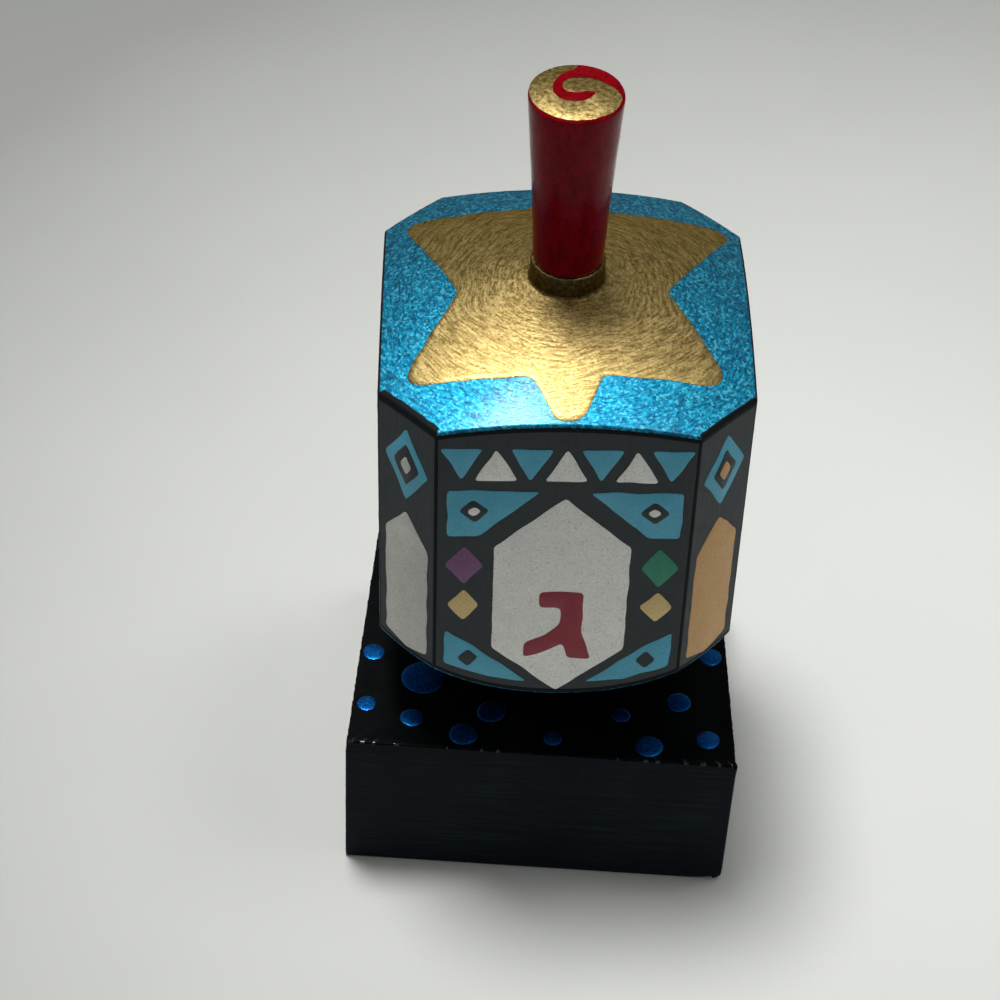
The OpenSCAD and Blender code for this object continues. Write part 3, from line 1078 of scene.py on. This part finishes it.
def floor():
    """Pale surface, larger than any view of the part, with a pool of light painted into its colour."""
    g = Graph("floor_painted_light_pool")
    place = g.place()
    clouds = g.noise(place, 0.02, 3.0)
    grain = g.noise(place, 3.0, 2.0)
    speckle = g.noise(place, 4.0, 2.0, 0.6)
    # Painted light and shade: lighter near a middle behind the part and towards the right, darker far from it
    away = g.vector("SUBTRACT", place, LIGHT_POOL_MIDDLE)
    far = g.vector("LENGTH", g.vector("MULTIPLY", away, LIGHT_POOL_FADE))
    lean = g.vector("DOT_PRODUCT", place, LIGHT_POOL_LEAN)
    fade = g.math("SUBTRACT", lean, g.math("MULTIPLY", far, far))
    shade = g.plus(fade, (clouds, 0.06), (speckle, 0.05))
    pale = g.mix(g.span(shade, -0.195, 0.155), FLOOR_PAINTED_SHADE, FLOOR_PAINTED_LIGHT)
    g.set(Base_Color=pale, Roughness=0.65, Specular_IOR_Level=0.2)
    g.set(Normal=g.bump(grain, 0.1, 0.02))
    corners = [(x * FLOOR_HALF, y * FLOOR_HALF, 0) for x, y in ((-1, -1), (1, -1), (1, 1), (-1, 1))]
    mesh = bpy.data.meshes.new("floor")
    mesh.from_pydata(corners, [], [(0, 1, 2, 3)])
    mesh.materials.append(g.material)
    piece = bpy.data.objects.new("floor", mesh)
    bpy.context.scene.collection.objects.link(piece)


def aim(thing, place, target, roll=0.0):
    """Puts a camera or a light at a place, in metres, looking at a target."""
    look = (Vector(target) - Vector(place)).to_track_quat("-Z", "Y").to_matrix().to_4x4()
    thing.matrix_world = Matrix.Translation(place) @ look @ Matrix.Rotation(roll, 4, "Z")
    bpy.context.scene.collection.objects.link(thing)


def soft_light(name, place, target, size, power):
    """A round soft light: place, target and diameter in metres, power in watts."""
    data = bpy.data.lights.new(name, "AREA")
    data.shape = "DISK"
    data.size = size
    data.energy = power
    data.spread = LIGHT_SPREAD
    aim(bpy.data.objects.new(name, data), place, target)


LIGHT_SPREAD = math.radians(60.0)
# Light of the room, even all round but dim towards one side: its colour and strengths, the dim side, and the cosines
# off it between which the light changes
ROOM_COLOUR = (0.97, 1.0, 1.0, 1.0)
ROOM_LIGHT = 0.36
ROOM_DARK = 0.11
DARK_SIDE = (0.0, -0.91, 0.41)
DARK_START, DARK_FULL = 0.45, 0.92


def studio():
    """A soft light overhead, a little behind and to the left, with weak ones to the right and in front, in a room."""
    soft_light("key", (-0.105, 0.122, 0.80), (0.02, -0.02, 0.0), 0.21, 0.72)
    soft_light("fill", (0.25, 0.05, 0.80), (0.0, 0.0, 0.0), 0.20, 0.11)
    soft_light("front", (0.0, -0.75, 0.45), (0.0, 0.0, 0.04), 0.50, 0.05)
    world = bpy.data.worlds.new("studio")
    bpy.context.scene.world = world
    world.use_nodes = True
    nodes, links = world.node_tree.nodes, world.node_tree.links
    background = nodes["Background"]
    background.inputs["Color"].default_value = ROOM_COLOUR
    direction = nodes.new("ShaderNodeTexCoord")
    towards = nodes.new("ShaderNodeVectorMath")
    towards.operation = "DOT_PRODUCT"
    towards.inputs[1].default_value = DARK_SIDE
    fade = nodes.new("ShaderNodeMapRange")
    fade.inputs["From Min"].default_value = DARK_START
    fade.inputs["From Max"].default_value = DARK_FULL
    fade.inputs["To Min"].default_value = ROOM_LIGHT
    fade.inputs["To Max"].default_value = ROOM_DARK
    links.new(direction.outputs["Generated"], towards.inputs[0])
    links.new(towards.outputs["Value"], fade.inputs["Value"])
    links.new(fade.outputs["Result"], background.inputs["Strength"])
    bpy.context.scene.view_settings.view_transform = "Standard"


# Camera fitted to the photograph: its place in millimetres, its downward and sideways turn and roll in degrees,
# and its focal length in pixels of a frame that is 1000 pixels wide
CAMERA_PLACE = (1.65, -199.49, 228.48)
CAMERA_DOWN = 44.03
CAMERA_TURN = -2.12
CAMERA_ROLL = 1.90
CAMERA_FOCAL_PIXELS = 2668.4
FRAME_PIXELS = 1000
SENSOR_MM = 36.0


def camera():
    """The camera at the photograph's viewing angle."""
    data = bpy.data.cameras.new("camera")
    data.sensor_width = SENSOR_MM
    data.lens = CAMERA_FOCAL_PIXELS / FRAME_PIXELS * SENSOR_MM
    data.clip_start = 0.01
    piece = bpy.data.objects.new("camera", data)
    down, turn = math.radians(CAMERA_DOWN), math.radians(CAMERA_TURN)
    ahead = Vector((math.cos(down) * math.sin(turn), math.cos(down) * math.cos(turn), -math.sin(down)))
    place = Vector(CAMERA_PLACE) * MM
    aim(piece, place, place + ahead, math.radians(CAMERA_ROLL))
    bpy.context.scene.camera = piece


camera()
studio()
floor()
stand_block()
stand_dots()
dreidel_body()
star_film()
handle_peg()
handle_end()
side_films()
